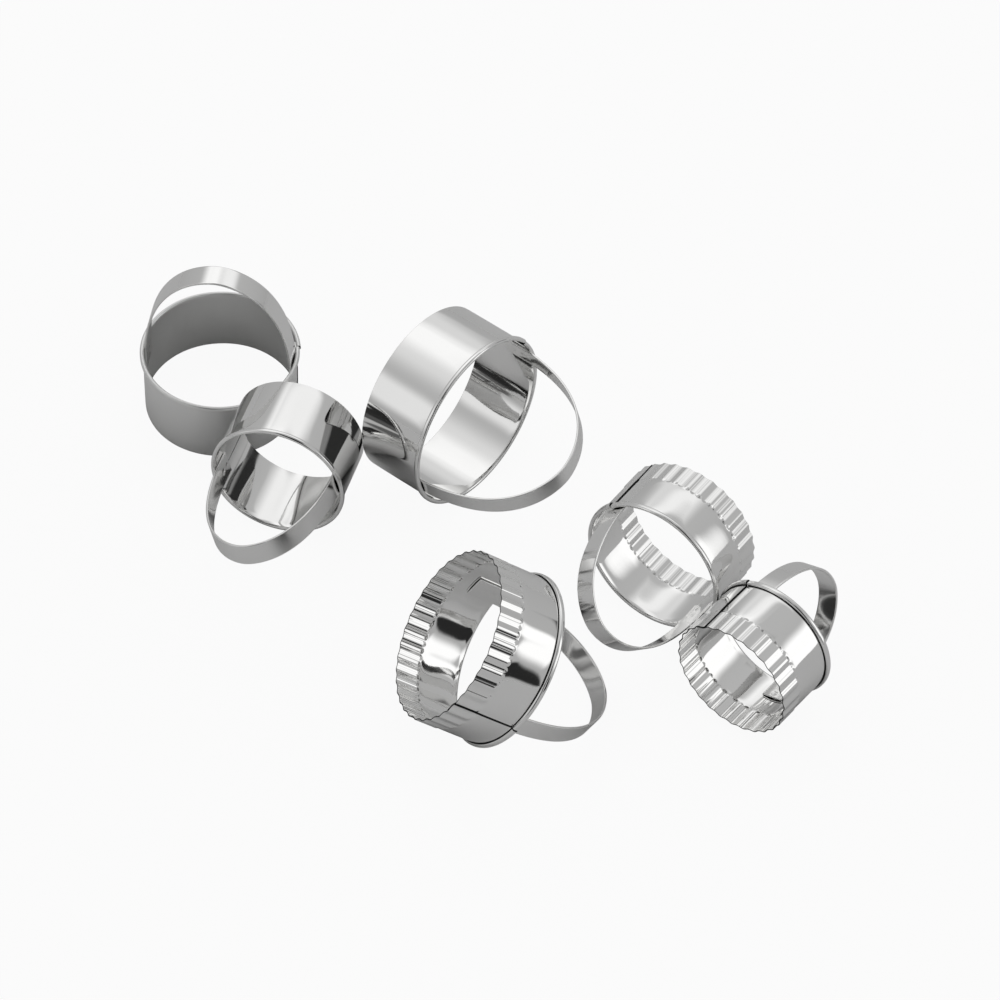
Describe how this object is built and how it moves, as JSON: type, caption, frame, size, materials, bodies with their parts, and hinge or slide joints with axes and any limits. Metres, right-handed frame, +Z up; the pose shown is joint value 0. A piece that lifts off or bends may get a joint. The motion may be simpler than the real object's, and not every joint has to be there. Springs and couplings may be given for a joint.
{
  "type": "biscuit cutter set",
  "caption": "Round biscuit cutters, plain and fluted, in bright stainless steel, each a lapped ring of sheet with a rolled rim and an arched strap handle spot-welded inside it.",
  "frame": {"origin": "middle of the set's outline on the surface that it lies on", "axes": "+Z up, +X to the right of the picture, -Y towards its viewer"},
  "size_m": [0.3177, 0.2493, 0.0842],
  "materials": {
    "bright_band": "mirror-polished stainless steel sheet",
    "satin_band": "satin stainless steel sheet, duller inside",
    "bright_strap": "bright rolled stainless steel strip",
    "weld_steel": "dull spot-weld nugget"
  },
  "bodies": {
    "plain_medium": {"plain_medium_band": "satin_band", "plain_medium_handle": "bright_strap", "plain_medium_weld_a": "weld_steel", "plain_medium_weld_b": "weld_steel"},
    "plain_small": {"plain_small_band": "bright_band", "plain_small_handle": "bright_strap", "plain_small_weld_a": "weld_steel", "plain_small_weld_b": "weld_steel"},
    "plain_large": {"plain_large_band": "bright_band", "plain_large_handle": "bright_strap", "plain_large_weld_a": "weld_steel", "plain_large_weld_b": "weld_steel"},
    "fluted_large": {"fluted_large_band": "bright_band", "fluted_large_handle": "bright_strap", "fluted_large_weld_a": "weld_steel", "fluted_large_weld_b": "weld_steel"},
    "fluted_medium": {"fluted_medium_band": "bright_band", "fluted_medium_handle": "bright_strap", "fluted_medium_weld_a": "weld_steel", "fluted_medium_weld_b": "weld_steel"},
    "fluted_small": {"fluted_small_band": "bright_band", "fluted_small_handle": "bright_strap", "fluted_small_weld_a": "weld_steel", "fluted_small_weld_b": "weld_steel"}
  },
  "joints": [
    {"name": "plain_small_lift", "type": "slide", "parent": "plain_medium", "child": "plain_small", "axis": [0, 0, 1], "range_m": [0, 0.1]},
    {"name": "plain_large_lift", "type": "slide", "parent": "plain_medium", "child": "plain_large", "axis": [0, 0, 1], "range_m": [0, 0.1]},
    {"name": "fluted_large_lift", "type": "slide", "parent": "plain_medium", "child": "fluted_large", "axis": [0, -0.7071, 0.7071], "range_m": [0, 0.12]},
    {"name": "fluted_medium_lift", "type": "slide", "parent": "plain_medium", "child": "fluted_medium", "axis": [0, 0, 1], "range_m": [0, 0.1]},
    {"name": "fluted_small_lift", "type": "slide", "parent": "plain_medium", "child": "fluted_small", "axis": [0, 0, 1], "range_m": [0, 0.1]}
  ]
}
